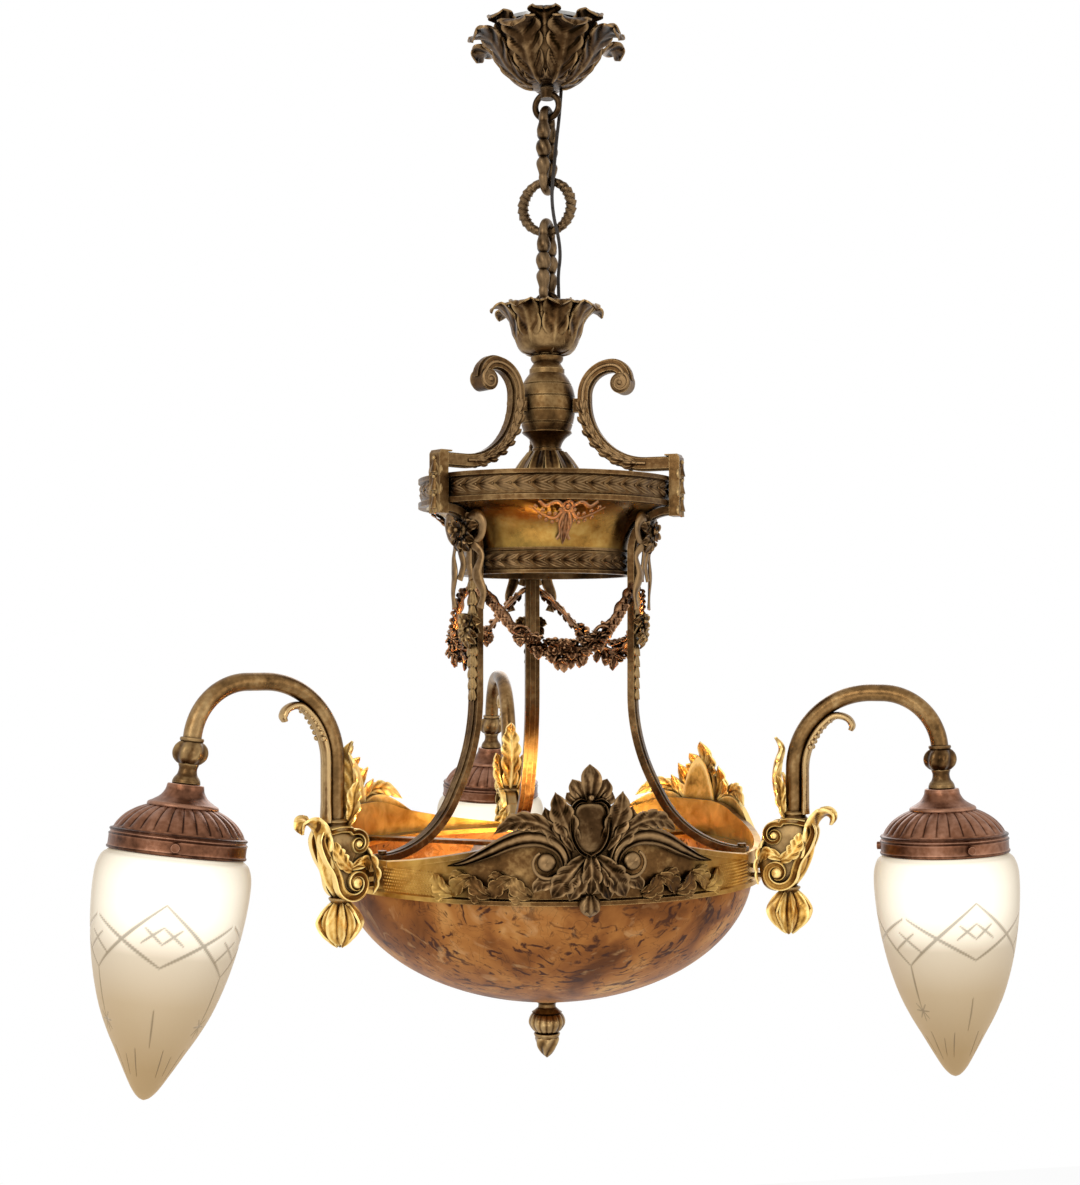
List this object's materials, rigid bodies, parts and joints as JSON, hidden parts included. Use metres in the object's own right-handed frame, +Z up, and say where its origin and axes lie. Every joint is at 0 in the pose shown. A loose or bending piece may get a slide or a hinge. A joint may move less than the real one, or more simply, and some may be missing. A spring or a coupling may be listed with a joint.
{
  "type": "alabaster bowl pendant",
  "caption": "Hanging light with a leafy canopy, chain, urn stem, round corona and long straps over an alabaster bowl, with curved arms that carry frosted glass shades.",
  "frame": {"origin": "on the ceiling, on the light's vertical axis", "axes": "+Z up, -Y to the front, where the front cartouche of the bowl ring faces"},
  "size_m": [0.7307, 0.6528, 0.905],
  "materials": {
    "dark_bronze": "dark, rubbed cast bronze",
    "aged_brass": "old cast brass with brown patina in the hollows",
    "bright_brass": "spun brass, lightly polished",
    "copper": "copper-coloured lacquered brass",
    "frosted_glass": "frosted glass with cut lines",
    "alabaster": "polished alabaster with brown veins",
    "steel": "plain zinc-plated steel",
    "porcelain": "glazed porcelain",
    "bulb_glass": "opal bulb glass",
    "lead_sleeve": "dark twin lead"
  },
  "bodies": {
    "ceiling_mount": {"ceiling_plate": "steel", "hanging_rod": "steel", "rod_nuts": "steel", "terminal_block": "porcelain", "ceiling_canopy": "dark_bronze", "canopy_collar": "dark_bronze", "canopy_loop": "dark_bronze", "lead_at_loop": "lead_sleeve"},
    "upper_link": {"upper_chain_link": "dark_bronze", "lead_at_ring_top": "lead_sleeve"},
    "chain_ring": {"chain_ring": "dark_bronze", "lead_at_ring_foot": "lead_sleeve"},
    "lower_link": {"lower_chain_link": "dark_bronze", "lead_at_eye": "lead_sleeve"},
    "pendant": {"stem_eye": "dark_bronze", "top_leaf_cup": "aged_brass", "stem_neck": "aged_brass", "stem_urn": "aged_brass", "stem_foot": "aged_brass", "stem_rod": "steel", "stem_washer": "steel", "corona_top_plate": "aged_brass", "corona_upper_band": "aged_brass", "corona_drum": "bright_brass", "corona_lower_band": "aged_brass", "drum_swags": "copper", "corner_blocks": "aged_brass", "ribbon_bows": "aged_brass", "husk_drops": "aged_brass", "garlands": "copper", "bowl_ring": "aged_brass", "alabaster_bowl": "alabaster", "bowl_spider": "aged_brass", "bowl_rod": "steel", "finial": "aged_brass", "frame_screws": "aged_brass", "arm_brackets": "aged_brass", "arm_leaves": "dark_bronze", "arm_knops": "aged_brass", "gallery_screws": "copper", "lampholders": "porcelain", "bulbs": "bulb_glass", "scroll_left": "aged_brass", "strap_left": "aged_brass", "arm_left": "aged_brass", "gallery_left": "copper", "glass_shade_left": "frosted_glass", "scroll_right": "aged_brass", "strap_right": "aged_brass", "arm_right": "aged_brass", "gallery_right": "copper", "glass_shade_right": "frosted_glass", "scroll_rear": "aged_brass", "strap_rear": "aged_brass", "arm_rear": "aged_brass", "gallery_rear": "copper", "glass_shade_rear": "frosted_glass", "cartouche_front": "aged_brass", "cartouche_back_right": "aged_brass", "cartouche_back_left": "aged_brass"}
  },
  "joints": [
    {"name": "loop_to_upper_link", "type": "hinge", "parent": "ceiling_mount", "child": "upper_link", "pos_m": [0, 0, -0.0791], "axis": [0.866, -0.5, 0], "range_deg": [-35, 35], "deforming": ["lead_at_loop"]},
    {"name": "upper_link_to_ring", "type": "hinge", "parent": "upper_link", "child": "chain_ring", "pos_m": [0, 0, -0.1426], "axis": [-0.5, -0.866, 0], "range_deg": [-35, 35], "deforming": ["lead_at_ring_top"]},
    {"name": "ring_to_lower_link", "type": "hinge", "parent": "chain_ring", "child": "lower_link", "pos_m": [0, 0, -0.1791], "axis": [0.866, -0.5, 0], "range_deg": [-35, 35], "deforming": ["lead_at_ring_foot"]},
    {"name": "lower_link_to_eye", "type": "hinge", "parent": "lower_link", "child": "pendant", "pos_m": [0, 0, -0.2414], "axis": [-0.5, -0.866, 0], "range_deg": [-35, 35], "deforming": ["lead_at_eye"]}
  ]
}
